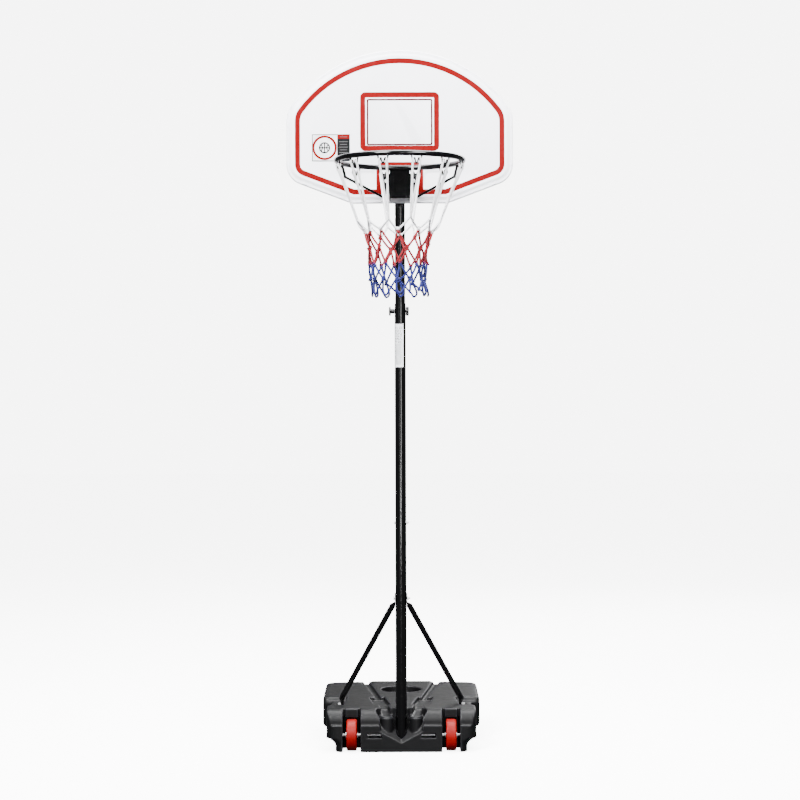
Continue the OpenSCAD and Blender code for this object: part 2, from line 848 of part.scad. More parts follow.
module pole_bracket_bolts() color([0.75, 0.76, 0.78]) for (z = bracket_bolt_zs) cross_bolt(z, upper_r + fit_gap + plate_t);
module pole_bracket_nuts() color([0.75, 0.76, 0.78]) for (z = bracket_bolt_zs) cross_nut(z, upper_r + fit_gap + plate_t);

strap_t = 2;
strap_h = 20;
strap_half = 46;
screw_hole = 4.6;
screw_head = [9, 2.5];

module upper_strap() color([0.03, 0.03, 0.035]) {
    inner = upper_r + fit_gap;
    outer = inner + strap_t;
    translate([0, 0, screw_z - strap_h / 2]) {
        difference() {
            union() {
                cylinder(r = outer, h = strap_h);
                translate([-outer, board_back, 0]) cube([2 * outer, -board_back, strap_h]);
                translate([-strap_half, board_back, 0]) cube([2 * strap_half, strap_t, strap_h]);
            }
            translate([0, 0, -1]) cylinder(r = inner, h = strap_h + 2);
            translate([-inner, board_back - 1, -1]) cube([2 * inner, -board_back + 1, strap_h + 2]);
            for (x = [-screw_x, screw_x]) rod_y(screw_hole, board_back - 1, board_back + 2 * strap_t, x, strap_h / 2);
        }
    }
}

module strap_screws() color([0.75, 0.76, 0.78]) {
    for (x = [-screw_x, screw_x]) {
        rod_y(screw_d, board_back - screw_in, board_back + strap_t, x, screw_z);
        rod_y(screw_head[0], board_back + strap_t, board_back + strap_t + screw_head[1], x, screw_z);
    }
}

// ---- rim ----

box_half = 31;
box_t = 3;
tab_half = 54;

module rim_bracket() color([0.03, 0.03, 0.035]) {
    front = board_y - rim_standoff - 2;
    top = rim_z - rim_bar / 2;
    tall = top - bolt_rim_low;
    side_x = box_half - box_t;
    difference() {
        union() {
            both_sides() translate([side_x, board_y - box_t, bolt_rim_low]) cube([tab_half - side_x, box_t, tall]);
            both_sides() translate([side_x, front, bolt_rim_low]) cube([box_t, board_y - front, tall]);
            translate([-box_half, front, bolt_rim_low]) cube([2 * box_half, box_t, tall]);
            translate([-box_half, front, top - box_t]) cube([2 * box_half, board_y - front, box_t]);
        }
        for (x = [-bolt_x, bolt_x], z = bolt_zs) rod_y(m6_hole, board_y - cut, board_y + 1, x, z);
    }
}

head_y = board_y - box_t - 1.2;
rim_washer_d = 12.4;
nut_h = 5;

module rim_bolts() color([0.75, 0.76, 0.78]) for (x = [-bolt_x, bolt_x], z = bolt_zs) {
    hex_y(m6_across, head_y - 4, head_y, x, z);
    rod_y(m6, head_y, board_back + cut + box_t, x, z);
}

module rim_washers() color([0.75, 0.76, 0.78]) for (x = [-bolt_x, bolt_x], z = bolt_zs) difference() {
    rod_y(rim_washer_d, head_y, board_y - box_t, x, z);
    rod_y(m6 + axle_gap, head_y - 1, board_y - box_t + 1, x, z);
}

module rim_nuts() color([0.75, 0.76, 0.78]) for (x = [-bolt_x, bolt_x], z = bolt_zs) difference() {
    hex_y(m6_across, board_back + plate_t, board_back + plate_t + nut_h, x, z);
    rod_y(m6 + 0.1, board_back + plate_t - 1, board_back + plate_t + nut_h + 1, x, z);
}

module rim_ring() color([0.03, 0.03, 0.035]) {
    translate([0, rim_y, rim_z]) rotate_extrude($fn = 128) translate([rim_r, 0]) circle(d = rim_bar);
}

// The rod that braces the rim: welded to the bracket's tab, bent once, and welded under the rim.
rod_r = 4;
bend_r = 4.8;
rod_start = [50, board_y - 7, bolt_rim_low + 10];
rod_bend = [166, rim_y + 79, rim_z - 40];
rod_top = [174.6, rim_y + 75, rim_z - 6];

module rim_rod(side) color([0.03, 0.03, 0.035]) {
    mirror([side < 0 ? 1 : 0, 0, 0]) {
        rod_between(rod_start, rod_bend, rod_r);
        translate(rod_bend) sphere(r = bend_r);
        rod_between(rod_bend, rod_top, rod_r);
    }
}

module rim_rod_left() rim_rod(-1);
module rim_rod_right() rim_rod(1);

// One wire hook in the plane tangent to the rim: two small loops with a deeper one between.
hook_wire = 3.4;
hook_lap = 1.2;
hook_sides = 8;
hook_path = [[-15.5, 2], [-11, -14], [-7, -6], [0, -21], [7, -6], [11, -14], [15.5, 2]];

module hook(angle) {
    low = rim_z - rim_bar / 2;
    at = function (p) [p.x, -rim_r + pow(p.x, 2) / (2 * rim_r), low + p.y];
    translate([0, rim_y, 0]) rotate([0, 0, angle])
        for (i = [0:len(hook_path) - 2]) {
            p = at(hook_path[i]);
            q = at(hook_path[i + 1]);
            over = unit(q - p) * hook_lap;
            rod_between(p - over, q + over, hook_wire / 2, $fn = hook_sides);
        }
}

module net_hooks() color([0.03, 0.03, 0.035]) {
    for (a = hook_angles, side = [-1, 1]) hook(side * a);
}

// ---- net ----

// The net's profile, from the hooks down: outer radius and height.
net_profile = [
    [180, 1801], [129, 1659], [100, 1614], [90, 1561], [84, 1508], [84, 1463], [85, net_bottom]];
net_thick = 2;

module net_ring(a, b) {
    outer = [for (i = [a:b]) net_profile[i]];
    inner = [for (i = [b:-1:a]) net_profile[i] - [net_thick, 0]];
    translate([0, rim_y, 0]) rotate_extrude($fn = 96) polygon(concat(outer, inner));
}

module net_upper() color([0.95, 0.95, 0.95]) net_ring(0, 2);
module net_middle() color([0.85, 0.10, 0.15]) net_ring(2, 4);
module net_lower() color([0.15, 0.18, 0.65]) net_ring(4, 6);

base_tank();
water_ballast();
fill_cap();
cap_seal();
axle();
axle_plugs();
wheel_washers();
wheel_left();
wheel_right();
lower_pole();
lower_pole_plug();
middle_pole();
upper_pole();
upper_pole_cap();
pole_joint_bolt();
pole_joint_nut();
stay_left();
stay_right();
stay_top_bolt();
stay_top_nut();
stay_foot_bolts();
lock_bolt();
lock_knob();
pole_label();
backboard();
border_stripe();
target_frame();
target_line();
board_sticker();
pole_bracket();
pole_bracket_bolts();
pole_bracket_nuts();
upper_strap();
strap_screws();
rim_bracket();
rim_bolts();
rim_washers();
rim_nuts();
rim_ring();
rim_rod_left();
rim_rod_right();
net_hooks();
net_upper();
net_middle();
net_lower();
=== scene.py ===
import math
import random

import bmesh
import bpy
import numpy as np
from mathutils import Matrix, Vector
from mathutils.bvhtree import BVHTree
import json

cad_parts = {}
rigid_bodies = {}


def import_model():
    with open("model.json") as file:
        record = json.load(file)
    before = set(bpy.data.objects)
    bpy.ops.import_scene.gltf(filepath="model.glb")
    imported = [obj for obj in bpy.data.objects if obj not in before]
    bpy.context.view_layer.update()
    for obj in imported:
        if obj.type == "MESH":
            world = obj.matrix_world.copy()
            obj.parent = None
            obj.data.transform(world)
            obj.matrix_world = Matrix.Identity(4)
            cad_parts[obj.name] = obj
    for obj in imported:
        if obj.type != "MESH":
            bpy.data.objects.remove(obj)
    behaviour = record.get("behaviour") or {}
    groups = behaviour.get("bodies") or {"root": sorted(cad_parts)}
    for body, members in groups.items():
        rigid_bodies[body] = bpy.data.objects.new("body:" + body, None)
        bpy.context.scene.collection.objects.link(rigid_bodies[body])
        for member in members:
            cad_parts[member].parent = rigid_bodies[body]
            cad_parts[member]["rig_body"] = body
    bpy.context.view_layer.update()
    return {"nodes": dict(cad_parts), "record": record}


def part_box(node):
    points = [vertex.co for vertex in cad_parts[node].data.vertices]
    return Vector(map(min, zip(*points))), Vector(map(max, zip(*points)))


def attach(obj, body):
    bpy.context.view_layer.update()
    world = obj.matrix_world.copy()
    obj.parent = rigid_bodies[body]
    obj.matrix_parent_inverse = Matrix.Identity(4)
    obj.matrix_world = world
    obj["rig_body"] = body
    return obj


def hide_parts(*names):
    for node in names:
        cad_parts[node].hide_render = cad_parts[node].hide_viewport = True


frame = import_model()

NODES = frame["nodes"]

# ---------------------------------------------------------------- places taken from the frame

RIM_LO, RIM_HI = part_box("rim_ring")
RIM = (RIM_LO + RIM_HI) / 2
BAR_R = (RIM_HI.z - RIM_LO.z) / 2
RIM_R = (RIM_HI.x - RIM_LO.x) / 2 - BAR_R
RIM_UNDER = RIM_LO.z
NET_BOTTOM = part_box("net_lower")[0].z
BOARD_LO, BOARD_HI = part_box("backboard")
PANEL_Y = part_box("border_stripe")[1].y
POLE_R = (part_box("middle_pole")[1].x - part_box("middle_pole")[0].x) / 2


# ---------------------------------------------------------------- camera

def make_camera():
    data = bpy.data.cameras.new("camera")
    data.lens = 94
    data.sensor_width = 36
    data.clip_end = 100
    camera = bpy.data.objects.new("camera", data)
    bpy.context.scene.collection.objects.link(camera)
    camera.location = (-0.0015, -6.61, 1.071)
    camera.rotation_euler = (math.radians(90.33), math.radians(0.17), 0)
    bpy.context.scene.camera = camera


make_camera()


# ---------------------------------------------------------------- mesh helpers

def new_object(name, verts, faces, uvs=None, smooth=True):
    mesh = bpy.data.meshes.new(name)
    mesh.from_pydata([tuple(v) for v in verts], [], faces)
    if uvs:
        layer = mesh.uv_layers.new(name="UVMap")
        for loop in mesh.loops:
            layer.data[loop.index].uv = uvs[loop.index]
    mesh.polygons.foreach_set("use_smooth", [smooth] * len(mesh.polygons))
    mesh.update()
    obj = bpy.data.objects.new(name, mesh)
    bpy.context.scene.collection.objects.link(obj)
    return obj


def apply_modifiers(obj):
    graph = bpy.context.evaluated_depsgraph_get()
    mesh = bpy.data.meshes.new_from_object(obj.evaluated_get(graph))
    obj.modifiers.clear()
    obj.data = mesh


def spline(points, steps, closed=False):
    """Catmull-Rom points through the given ones, with so many steps from each to the next."""
    pts = [Vector(p) for p in points]
    count = len(pts)
    spans = count if closed else count - 1
    at = (lambda i: pts[i % count]) if closed else (lambda i: pts[min(max(i, 0), count - 1)])
    out = []
    for i in range(spans):
        p0, p1, p2, p3 = at(i - 1), at(i), at(i + 1), at(i + 2)
        for k in range(steps):
            t = k / steps
            out.append(0.5 * (2 * p1 + (p2 - p0) * t + (2 * p0 - 5 * p1 + 4 * p2 - p3) * t * t
                              + (3 * p1 - p0 - 3 * p2 + p3) * t ** 3))
    if not closed:
        out.append(pts[-1])
    return out


class Tubes:
    """Collects swept tubes into one mesh. U runs round a tube and V along it, in metres."""

    def __init__(self, sides):
        self.sides = sides
        self.verts, self.faces, self.uvs = [], [], []

    def add(self, path, radius, closed=False, round_ends=True):
        n = self.sides
        path = [Vector(p) for p in path]
        radii = radius if isinstance(radius, list) else [radius] * len(path)
        if not closed and round_ends:
            path, radii = self._with_round_ends(path, radii)
        count = len(path)
        tangents = []
        for i in range(count):
            if closed:
                d = path[(i + 1) % count] - path[i - 1]
            else:
                d = path[min(i + 1, count - 1)] - path[max(i - 1, 0)]
            tangents.append(d.normalized())
        side = tangents[0].orthogonal().normalized()
        base, along = len(self.verts), 0.0
        vs = []
        for i, p in enumerate(path):
            side = (side - tangents[i] * side.dot(tangents[i])).normalized()
            up = tangents[i].cross(side)
            for k in range(n):
                a = 2 * math.pi * k / n
                self.verts.append(p + (side * math.cos(a) + up * math.sin(a)) * radii[i])
            if i:
                along += (p - path[i - 1]).length
            vs.append(along)
        rings = count if closed else count - 1
        for i in range(rings):
            j = (i + 1) % count
            v0, v1 = vs[i], vs[j] if j else along + (path[0] - path[-1]).length
            for k in range(n):
                m = (k + 1) % n
                self.faces.append([base + i * n + k, base + i * n + m, base + j * n + m, base + j * n + k])
                self.uvs += [(k / n, v0), ((k + 1) / n, v0), ((k + 1) / n, v1), (k / n, v1)]
        if not closed:
            self.faces.append([base + k for k in reversed(range(n))])
            self.uvs += [(k / n, vs[0]) for k in reversed(range(n))]
            self.faces.append([base + (count - 1) * n + k for k in range(n)])
            self.uvs += [(k / n, vs[-1]) for k in range(n)]

    @staticmethod
    def _with_round_ends(path, radii):
        def cap(end, inner, r):
            d = (end - inner).normalized()
            steps = [(0.5, 0.87), (0.85, 0.52), (0.98, 0.2)]
            return [end + d * r * x for x, _ in steps], [r * y for _, y in steps]
        head, head_r = cap(path[0], path[1], radii[0])
        tail, tail_r = cap(path[-1], path[-2], radii[-1])
        return head[::-1] + path + tail, head_r[::-1] + list(radii) + tail_r

    def build(self, name):
        return new_object(name, self.verts, self.faces, self.uvs)


def loft(rings, cyclic=False):
    """Faces between successive rings of equal length; capped at both ends, or joined last to first."""
    n = len(rings[0])
    verts = [v for ring in rings for v in ring]
    spans = len(rings) if cyclic else len(rings) - 1
    faces = []
    for i in range(spans):
        a, b = i * n, (i + 1) % len(rings) * n
        faces += [[a + k, a + (k + 1) % n, b + (k + 1) % n, b + k] for k in range(n)]
    if not cyclic:
        last = (len(rings) - 1) * n
        faces += [[k for k in reversed(range(n))], [last + k for k in range(n)]]
    return verts, faces


def joined(shapes):
    """Several (verts, faces) shapes as one."""
    verts, faces = [], []
    for shape_verts, shape_faces in shapes:
        faces += [[len(verts) + i for i in face] for face in shape_faces]
        verts += shape_verts
    return verts, faces


def tidy(obj, sharp=35):
    """Consistent outward normals, and smooth shading except across sharp edges."""
    mesh = bmesh.new()
    mesh.from_mesh(obj.data)
    bmesh.ops.recalc_face_normals(mesh, faces=mesh.faces)
    mesh.to_mesh(obj.data)
    mesh.free()
    obj.data.polygons.foreach_set("use_smooth", [True] * len(obj.data.polygons))
    obj.data.set_sharp_from_angle(angle=math.radians(sharp))


def rounded_box(x0, z0, x1, z1, r, n=5):
    """Corner-rounded rectangle as points (x, z)."""
    out = []
    corners = ((x1 - r, z1 - r, 0), (x0 + r, z1 - r, 90), (x0 + r, z0 + r, 180), (x1 - r, z0 + r, 270))
    for cx, cz, start in corners:
        for i in range(n + 1):
            a = math.radians(start + 90 * i / n)
            out.append((cx + r * math.cos(a), cz + r * math.sin(a)))
    return out


def facing(points, y):
    """Points (x, z) set up as a ring at depth y."""
    return [Vector((x, y, z)) for x, z in points]


def plate(points, front, back):
    return loft([facing(points, front), facing(points, back)])


def copy_of(node, name):
    obj = bpy.data.objects.new(name, NODES[node].data.copy())
    obj.data.materials.clear()
    bpy.context.scene.collection.objects.link(obj)
    return obj


def place(obj, *nodes):
    """Puts a piece in the place of the CAD nodes: hides them and puts the piece on the first one's body."""
    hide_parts(*nodes)
    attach(obj, NODES[nodes[0]]["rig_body"])


# ---------------------------------------------------------------- material helpers

class Shader:
    """A principled material with short calls for the nodes that these materials use."""

    def __init__(self, name, color, roughness, metallic=0.0, **sockets):
        self.mat = bpy.data.materials.new(name)
        self.mat.use_nodes = True
        self.tree = self.mat.node_tree
        self.bsdf = self.tree.nodes["Principled BSDF"]
        self.bsdf.inputs["Base Color"].default_value = (*color, 1)
        self.bsdf.inputs["Roughness"].default_value = roughness
        self.bsdf.inputs["Metallic"].default_value = metallic
        for key, value in sockets.items():
            self.bsdf.inputs[key.replace("_", " ")].default_value = value
        self.height = None

    def node(self, kind, **settings):
        made = self.tree.nodes.new(kind)
        for key, value in settings.items():
            setattr(made, key, value)
        return made

    def link(self, a, b):
        self.tree.links.new(a, b)

    def coords(self, scale=(1, 1, 1), kind="Object"):
        source = self.node("ShaderNodeTexCoord")
        mapping = self.node("ShaderNodeMapping")
        mapping.inputs["Scale"].default_value = scale
        self.link(source.outputs[kind], mapping.inputs["Vector"])
        return mapping.outputs["Vector"]

    def noise(self, scale, detail=3.0, rough=0.5, stretch=(1, 1, 1)):
        made = self.node("ShaderNodeTexNoise")
        made.inputs["Scale"].default_value = scale
        made.inputs["Detail"].default_value = detail
        made.inputs["Roughness"].default_value = rough
        self.link(self.coords(stretch), made.inputs["Vector"])
        return made.outputs["Fac"]

    def pointiness(self):
        return self.node("ShaderNodeNewGeometry").outputs["Pointiness"]

    def ramp(self, fac, stops):
        made = self.node("ShaderNodeValToRGB")
        elements = made.color_ramp.elements
        for i, (at, value) in enumerate(stops):
            element = elements[i] if i < 2 else elements.new(at)
            element.position = at
            rgb = value if isinstance(value, tuple) else (value,) * 3
            element.color = (*rgb, 1)
        self.link(fac, made.inputs["Fac"])
        return made.outputs["Color"]

    def math(self, op, a, b=None, clamp=False):
        made = self.node("ShaderNodeMath", operation=op, use_clamp=clamp)
        for socket, value in zip(made.inputs, (a, b)):
            if value is None:
                continue
            if isinstance(value, (int, float)):
                socket.default_value = value
            else:
                self.link(value, socket)
        return made.outputs[0]

    def mix(self, fac, a, b):
        made = self.node("ShaderNodeMix", data_type="RGBA")
        self.link(fac, made.inputs["Factor"])
        for socket, value in ((made.inputs[6], a), (made.inputs[7], b)):
            if isinstance(value, tuple):
                socket.default_value = (*value, 1)
            else:
                self.link(value, socket)
        return made.outputs[2]

    def color(self, source):
        self.link(source, self.bsdf.inputs["Base Color"])

    def roughness(self, source):
        self.link(source, self.bsdf.inputs["Roughness"])

    def bump(self, height, strength, distance):
        made = self.node("ShaderNodeBump")
        made.inputs["Strength"].default_value = strength
        made.inputs["Distance"].default_value = distance
        self.link(height, made.inputs["Height"])
        if self.height is not None:
            self.link(self.height, made.inputs["Normal"])
        self.height = made.outputs["Normal"]
        self.link(self.height, self.bsdf.inputs["Normal"])


def grained_plastic(name, color, roughness, grain=1400, depth=0.00012, wear=0.25, edges=0.0, shine=0.4):
    """Moulded plastic: a fine leathery grain, broad tone changes, faint handling marks, and a painted
    highlight on the edges.
    """
    s = Shader(name, color, roughness, Specular_IOR_Level=shine)
    light = tuple(min(1, c * 1.25) for c in color)
    dark = tuple(c * 0.82 for c in color)
    tone = s.mix(s.ramp(s.noise(9, 6, 0.65), [(0.35, 0.0), (0.72, 1.0)]), dark, light)
    # painted highlight: with edges set, the colour is lightened on convex edges (high pointiness), up to nine
    # times its own
    if edges:
        painted_edge_highlight = s.ramp(s.pointiness(), [(0.512, 0.0), (0.545, edges)])
        tone = s.mix(painted_edge_highlight, tone, tuple(min(1, c * 9) for c in color))
    s.color(tone)
    s.roughness(s.ramp(s.noise(35, 5, 0.6), [(0.3, roughness - wear * 0.3), (0.7, roughness + wear * 0.4)]))
    s.bump(s.noise(grain, 2, 0.5), 0.35, depth)
    s.bump(s.noise(60, 3, 0.5), 0.10, 0.0004)
    return s.mat


def powder_coat(name, color, roughness=0.2, shine=0.5):
    """Gloss powder coat: a little orange peel, and a few duller scuffs."""
    s = Shader(name, color, roughness, Specular_IOR_Level=shine)
    s.color(s.mix(s.ramp(s.noise(14, 4), [(0.4, 0.0), (0.75, 1.0)]), color, tuple(c * 1.6 for c in color)))
    s.roughness(s.ramp(s.noise(60, 5, 0.6), [(0.4, roughness), (0.85, roughness + 0.08)]))
    s.bump(s.noise(260, 2), 0.03, 0.0002)
    return s.mat


def zinc_steel(name):
    s = Shader(name, (0.62, 0.63, 0.65), 0.34, 0.55)
    s.color(s.ramp(s.noise(160, 5, 0.7), [(0.3, (0.58, 0.59, 0.62)), (0.7, (0.86, 0.86, 0.85))]))
    s.roughness(s.ramp(s.noise(500, 3), [(0.3, 0.26), (0.75, 0.46)]))
    s.bump(s.noise(900, 2), 0.2, 0.0001)
    return s.mat


def board_plastic(name):
    s = Shader(name, (0.80, 0.80, 0.845), 0.34, Specular_IOR_Level=0.4)
    tone = s.ramp(s.noise(5, 5, 0.6), [(0.3, (0.745, 0.75, 0.80)), (0.7, (0.785, 0.79, 0.83))])
    # painted shade: the colour darkens to grey in the creases and hollows of the moulding (low pointiness)
    s.color(s.mix(s.ramp(s.pointiness(), [(0.44, 1.0), (0.495, 0.0)]), tone, (0.22, 0.22, 0.24)))
    s.roughness(s.ramp(s.noise(40, 5, 0.6), [(0.3, 0.30), (0.75, 0.42)]))
    s.bump(s.noise(700, 2), 0.12, 0.0002)
    s.bump(s.noise(22, 2), 0.05, 0.001)
    return s.mat


def printed(name, color, roughness=0.35):
    """Ink or vinyl: a faint mottle in the colour, and a fine tooth."""
    s = Shader(name, color, roughness, Specular_IOR_Level=0.06)
    s.color(s.mix(s.ramp(s.noise(120, 4), [(0.35, 0.0), (0.7, 1.0)]), tuple(c * 0.88 for c in color),
                  tuple(min(1, c * 1.08) for c in color)))
    s.roughness(s.ramp(s.noise(60, 3), [(0.3, roughness - 0.05), (0.7, roughness + 0.1)]))
    s.bump(s.noise(900, 2), 0.08, 0.0001)
    return s.mat


def twisted_cord(name):
    """Laid cord: three strands wound round each other, dyed white, red and blue from the top down."""
    s = Shader(name, (0.8, 0.8, 0.8), 0.85, Sheen_Weight=0.08, Sheen_Roughness=0.5, Specular_IOR_Level=0.15)
    uv = s.node("ShaderNodeSeparateXYZ")
    s.link(s.coords(kind="UV"), uv.inputs[0])
    lay = s.math("ADD", s.math("MULTIPLY", uv.outputs["X"], 3.0), s.math("MULTIPLY", uv.outputs["Y"], 260.0))
    strand = s.math("ABSOLUTE", s.math("SINE", s.math("MULTIPLY", lay, math.pi)))
    fibre = s.noise(2600, 3, 0.6)
    place_z = s.node("ShaderNodeSeparateXYZ")
    s.link(s.coords(), place_z.inputs[0])
    wobble = s.math("MULTIPLY", s.math("SUBTRACT", s.noise(45, 2), 0.5), 0.016)
    z = s.math("ADD", place_z.outputs["Z"], wobble)
    span = RIM_UNDER - NET_BOTTOM
    down = s.math("DIVIDE", s.math("SUBTRACT", RIM_UNDER, z), span)
    white, red = (0.66, 0.66, 0.68), (0.15, 0.0015, 0.006)
    blue, low_blue = (0.009, 0.012, 0.10), (0.008, 0.010, 0.09)
    dye = s.ramp(down, [(0.0, white), (0.512, white), (0.524, red), (0.742, red), (0.762, blue),
                        (1.0, low_blue)])
    # painted shade: the grooves between the strands are darkened in the colour
    shade = s.ramp(strand, [(0.0, 0.35), (0.55, 1.0)])
    tone = s.node("ShaderNodeMix", data_type="RGBA", blend_type="MULTIPLY")
    tone.inputs["Factor"].default_value = 0.8
    s.link(dye, tone.inputs[6])
    s.link(shade, tone.inputs[7])
    s.color(tone.outputs[2])
    s.bump(strand, 0.9, 0.0006)
    s.bump(fibre, 0.4, 0.0002)
    return s.mat


MATS = {
    # edges=1.0 gives the tank the painted highlight on its convex edges
    "tank_plastic": grained_plastic("tank_plastic", (0.0017, 0.0017, 0.0020), 0.46, wear=0.1, edges=1.0,
                                    shine=0.16),
    "cap_plastic": grained_plastic("cap_plastic", (0.010, 0.010, 0.011), 0.4),
    "seal_rubber": grained_plastic("seal_rubber", (0.008, 0.008, 0.008), 0.75),
    "zinc_steel": zinc_steel("zinc_steel"),
    "wheel_plastic": grained_plastic("wheel_plastic", (0.15, 0.0012, 0.0009), 0.45, wear=0.05, shine=0.12),
    "pole_paint": powder_coat("pole_paint", (0.0005, 0.0005, 0.0006), 0.13),
    "rim_paint": powder_coat("rim_paint", (0.0004, 0.0004, 0.0005), 0.12, 0.3),
    "knob_plastic": grained_plastic("knob_plastic", (0.0035, 0.0035, 0.004), 0.38, grain=1000),
    "label_film": printed("label_film", (0.62, 0.63, 0.65), 0.3),
    "label_ink": printed("label_ink", (0.04, 0.04, 0.042), 0.4),
    "label_pale_ink": printed("label_pale_ink", (0.20, 0.205, 0.21), 0.4),
    "board_plastic": board_plastic("board_plastic"),
    "red_print": printed("red_print", (0.105, 0.0004, 0.0008)),
    "dark_red_print": printed("dark_red_print", (0.030, 0.0004, 0.0015)),
    "sign_black": printed("sign_black", (0.004, 0.004, 0.0045), 0.4),
    "sign_grey": printed("sign_grey", (0.06, 0.06, 0.062), 0.4),
    "water": printed("water", (0.35, 0.5, 0.6), 0.1),
    "net_white": twisted_cord("net_cord"),
}
MATS["net_red"] = MATS["net_blue"] = MATS["net_white"]


def dress(obj, name):
    obj.data.materials.clear()
    obj.data.materials.append(MATS[name])


def dress_cad_nodes():
    for entry in frame["record"]["subparts"]:
        obj = NODES[entry["node"]]
        for slot in obj.material_slots:
            slot.material = MATS[entry["material_slot"]]
        if not obj.material_slots:
            obj.data.materials.append(MATS[entry["material_slot"]])


dress_cad_nodes()


# ---------------------------------------------------------------- backboard

ARC_R, UPPER_CORNER, LOWER_CORNER = 0.420, 0.092, 0.064
SLOPE, FOOT_HALF = math.radians(20.7), 0.150
FACE_RAISE = 0.005
SKIN = 0.004
BOARD_BACK = BOARD_HI.y


def fillet(p0, p1, p2, r, n):
    a, b = (p0 - p1).normalized(), (p2 - p1).normalized()
    half = a.angle(b) / 2
    c = p1 + (a + b).normalized() * (r / math.sin(half))
    t0, t2 = p1 + a * (r / math.tan(half)) - c, p1 + b * (r / math.tan(half)) - c
    start = math.atan2(t0.y, t0.x)
    sweep = (math.atan2(t2.y, t2.x) - start + 5 * math.pi) % (2 * math.pi) - math.pi
    return [c + r * Vector((math.cos(a), math.sin(a))) for a in (start + sweep * i / n for i in range(n + 1))]


def board_outline(d):
    """The board's outline brought in by d on every side, as points (x, z)."""
    half, low = BOARD_HI.x - d, BOARD_LO.z + d
    r, c = ARC_R - d, BOARD_HI.z - ARC_R
    x0 = FOOT_HALF - d * math.tan(SLOPE / 2)
    corner = Vector((half, low + (half - x0) * math.tan(SLOPE)))
    rf = UPPER_CORNER - d
    fc = Vector((half - rf, c + math.sqrt((r - rf) ** 2 - (half - rf) ** 2)))
    a0 = math.atan2(fc.y - c, fc.x)
    right = [Vector((x0 * k / 4, low)) for k in range(1, 5)]
    right += fillet(Vector((x0, low)), corner, corner + Vector((0, 0.2)), max(LOWER_CORNER - d, 0.004), 16)
    right += [fc + rf * Vector((math.cos(a0 * i / 14), math.sin(a0 * i / 14))) for i in range(15)]
    right += [Vector((r * math.cos(a), c + r * math.sin(a)))
              for a in (a0 + (math.pi / 2 - a0) * i / 32 for i in range(1, 32))]
    points = [(0, low)] + [tuple(p) for p in right] + [(0, BOARD_HI.z - d)]
    return points + [(-x, z) for x, z in reversed(points[1:-1])]


def span_inside(points, axis, at):
    """Where the line at a given x (axis 0) or z (axis 1) enters and leaves an outline."""
    cuts = []
    for p, q in zip(points, points[1:] + points[:1]):
        if (p[axis] - at) * (q[axis] - at) < 0:
            t = (at - p[axis]) / (q[axis] - p[axis])
            cuts.append(p[1 - axis] + t * (q[1 - axis] - p[1 - axis]))
    return min(cuts), max(cuts)


def build_board():
    """A moulded board: a raised face, a sloped step down to a flange, a skirt, and ribs and pads behind."""
    y = PANEL_Y
    # each ring of the section: how far in from the outline, and how far behind the raised face
    profile = [(0.0215, 0.0), (0.0200, 0.0001), (0.0185, 0.0005), (0.0168, 0.0012), (0.0125, 0.0036),
               (0.0108, 0.0044), (0.0092, 0.0048), (0.0072, FACE_RAISE), (0.0036, FACE_RAISE),
               (0.0022, 0.0053), (0.0010, 0.0062), (0.0002, 0.0078), (0.0, 0.0095), (0.0, 0.0193),
               (0.0004, 0.0201), (0.0011, 0.0205), (0.0021, 0.0205), (0.0028, 0.0200), (0.0030, 0.0190),
               (0.0030, 0.0092), (0.0036, 0.0086), (0.0150, 0.0086), (0.0162, 0.0080), (0.0172, 0.0050),
               (0.0182, 0.0041), (0.0200, SKIN)]
    shell = loft([facing(board_outline(d), y + dy) for d, dy in profile])
    board = new_object("board_shell", *shell)
    tidy(board)
    # the shallow recesses beside the rim bracket: their outline, and each ring's inset and depth
    recess = (0.074, 1.772, 0.134, 1.828)
    dish = ((0.010, 0.0024), (0.0075, 0.0022), (0.004, 0.0014), (0.001, 0.0003), (-0.001, -0.001))
    for side in (-1, 1):
        rings = []
        for inset, dy in dish:
            box = rounded_box(recess[0] + inset, recess[1] + inset, recess[2] - inset, recess[3] - inset,
                              0.014 - inset * 0.4)
            rings.append(facing([(side * x, z) for x, z in box], y + dy))
        cutter = new_object("cutter", *loft(rings))
        tidy(cutter)
        cut = board.modifiers.new("recess", "BOOLEAN")
        cut.operation = "DIFFERENCE"
        cut.solver = "EXACT"
        cut.object = cutter
        apply_modifiers(board)
        bpy.data.objects.remove(cutter)
    shapes = []
    inner = board_outline(0.0029)
    rib, depth, root, pitch = 0.0012, y + 0.0170, y + 0.0035, 0.060
    for k in range(-5, 6):
        x = pitch * k
        low, high = span_inside(inner, 0, x + 0.0001)
        shapes.append(plate([(x - rib, low), (x + rib, low), (x + rib, high), (x - rib, high)], root, depth))
    for k in range(1, 8):
        z = BOARD_LO.z + pitch * k
        low, high = span_inside(inner, 1, z + 0.0001)
        shapes.append(plate([(low, z - rib), (high, z - rib), (high, z + rib), (low, z + rib)], root, depth))
    for pad in ((-0.062, 1.732, 0.062, 1.820), (-0.048, 2.002, 0.048, 2.038)):
        shapes.append(plate(rounded_box(*pad, 0.006), root, BOARD_BACK))
    ribs = new_object("board_ribs", *joined(shapes))
    tidy(ribs)
    tidy(board)
    for obj in (board, ribs):
        dress(obj, "board_plastic")
    place(board, "backboard")
    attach(ribs, NODES["backboard"]["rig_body"])


def decal(name, shapes, material):
    obj = new_object(name, *joined(shapes))
    tidy(obj)
    dress(obj, material)
    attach(obj, NODES["backboard"]["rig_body"])


def annulus(cx, cz, outer, inner, front, back, n=48):
    def ring(r, y):
        turns = [2 * math.pi * k / n for k in range(n)]
        return [Vector((cx + r * math.cos(a), y, cz + r * math.sin(a))) for a in turns]
    return loft([ring(outer, front), ring(outer, back), ring(inner, back), ring(inner, front)], cyclic=True)


def bar(x0, z0, x1, z1, front, back, r=0.0004):
    return plate(rounded_box(x0, z0, x1, z1, r, 2), front, back)


